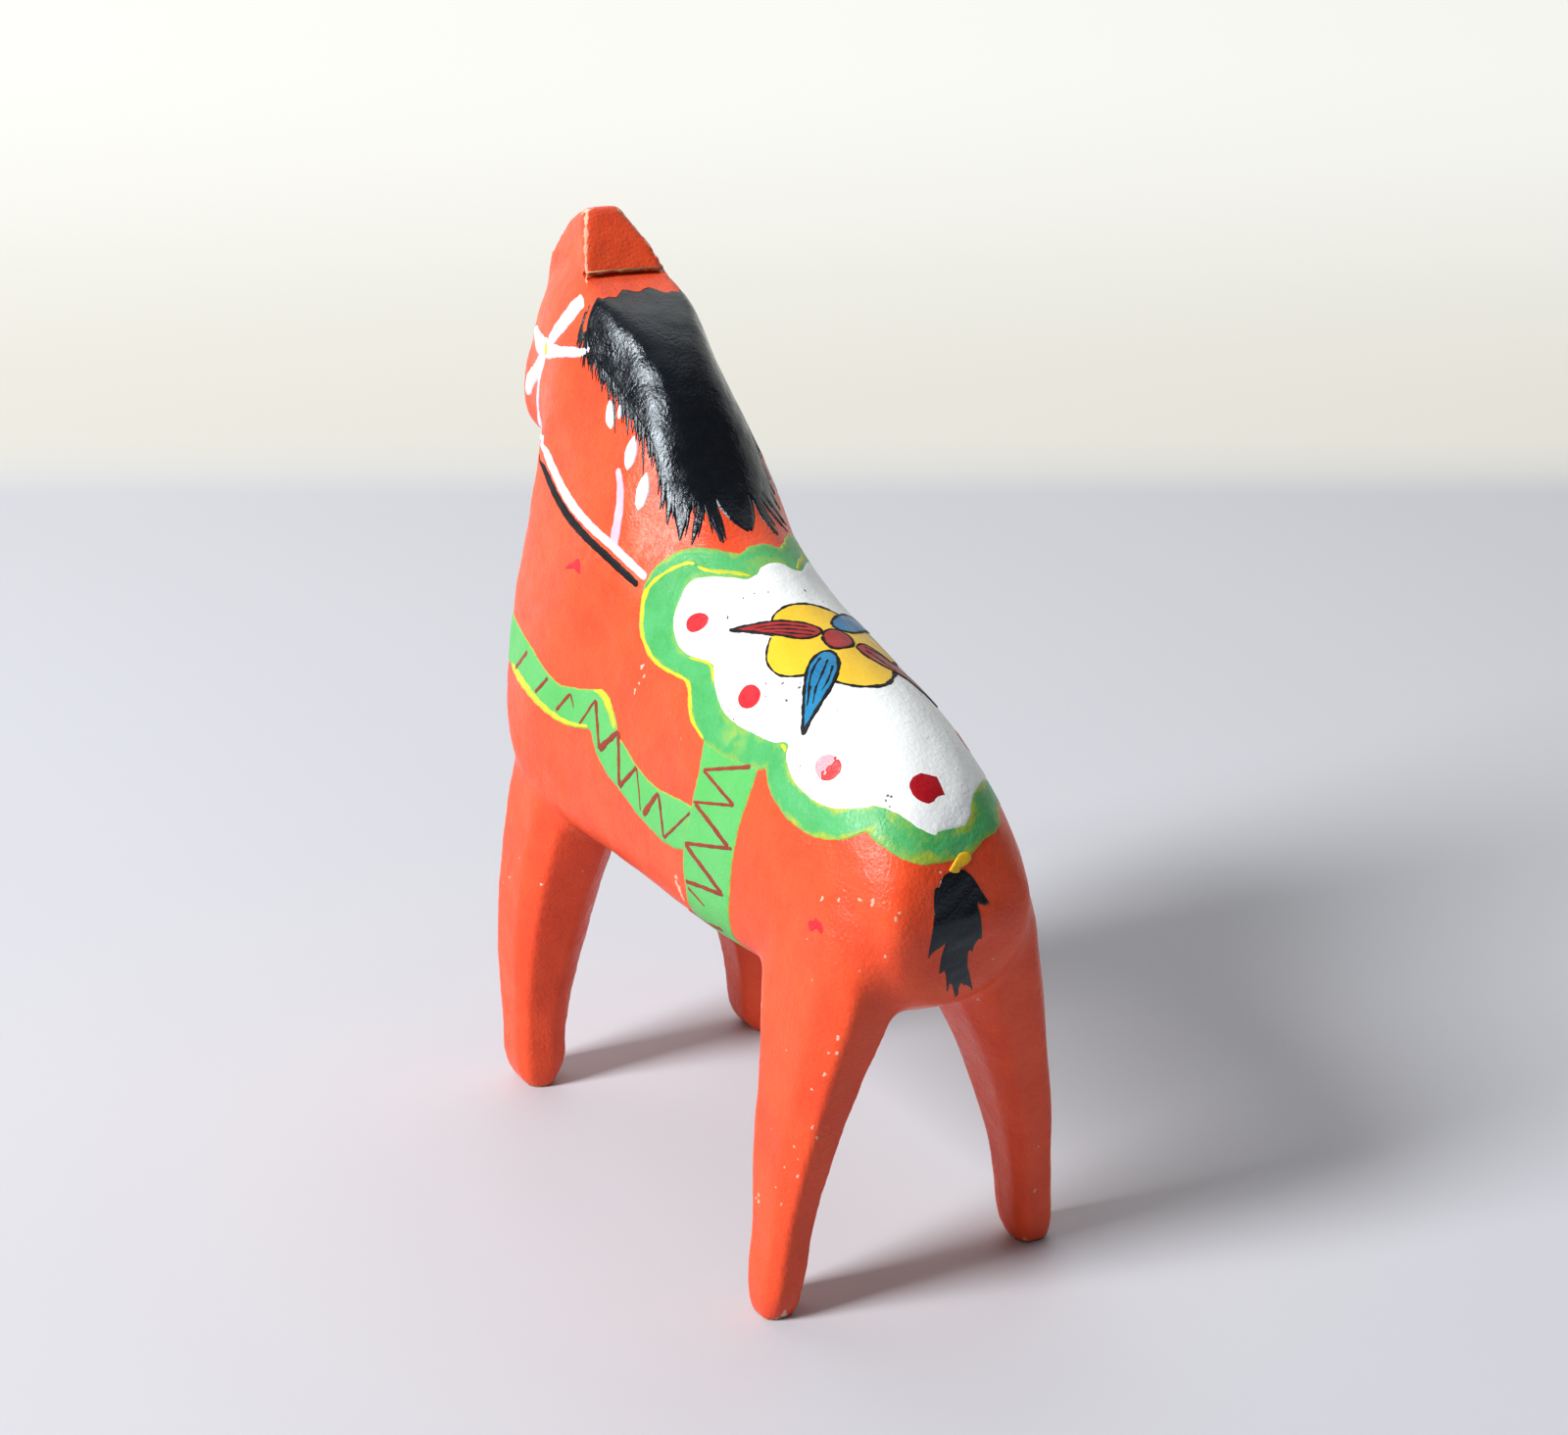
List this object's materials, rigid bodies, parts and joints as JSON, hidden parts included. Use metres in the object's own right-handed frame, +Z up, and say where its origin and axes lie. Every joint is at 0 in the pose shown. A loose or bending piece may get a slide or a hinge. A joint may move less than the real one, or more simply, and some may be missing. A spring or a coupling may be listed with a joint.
{
  "type": "dala horse",
  "caption": "Carved wooden horse on four straight legs with a wedge ear, painted orange-red with a black mane, a scalloped saddle, straps and a tail tassel.",
  "frame": {"origin": "middle of the whole figure's footprint, on the plane the four soles stand on", "axes": "+Z up, the horse looks along -Y, its left side is +X, X = 0 is its plane of symmetry"},
  "size_m": [0.047, 0.1217, 0.13],
  "materials": {
    "pine": "planed softwood under the paint",
    "coat_orange": "orange-red enamel, satin",
    "paint_black": "black enamel",
    "paint_white": "white enamel",
    "paint_green": "green enamel",
    "paint_lavender": "pale lavender enamel",
    "paint_red": "red enamel",
    "paint_ochre": "ochre yellow enamel",
    "paint_blue": "blue enamel",
    "paint_yellow": "yellow enamel",
    "paint_lime": "lime yellow enamel",
    "paint_brown": "brown red enamel"
  },
  "bodies": {
    "root": {"wood_body": "pine", "ground_coat": "coat_orange", "mane_black": "paint_black", "saddle_white": "paint_white", "saddle_green": "paint_green", "girth_green": "paint_green", "breast_green": "paint_green", "bridle_white": "paint_white", "rein_white": "paint_white", "rein_black": "paint_black", "neck_stroke": "paint_lavender", "neck_drops": "paint_white", "red_marks": "paint_red", "tail_tassel": "paint_black", "tail_knot": "paint_ochre", "petals_red": "paint_red", "petals_blue": "paint_blue", "flower_centre": "paint_red", "flower_yellow": "paint_yellow", "flower_contour": "paint_black", "saddle_dots": "paint_red", "saddle_glaze": "paint_lime", "breast_zigzag": "paint_brown", "girth_zigzag": "paint_brown", "breast_glaze": "paint_lime", "bridle_dot": "paint_ochre"}
  },
  "joints": []
}
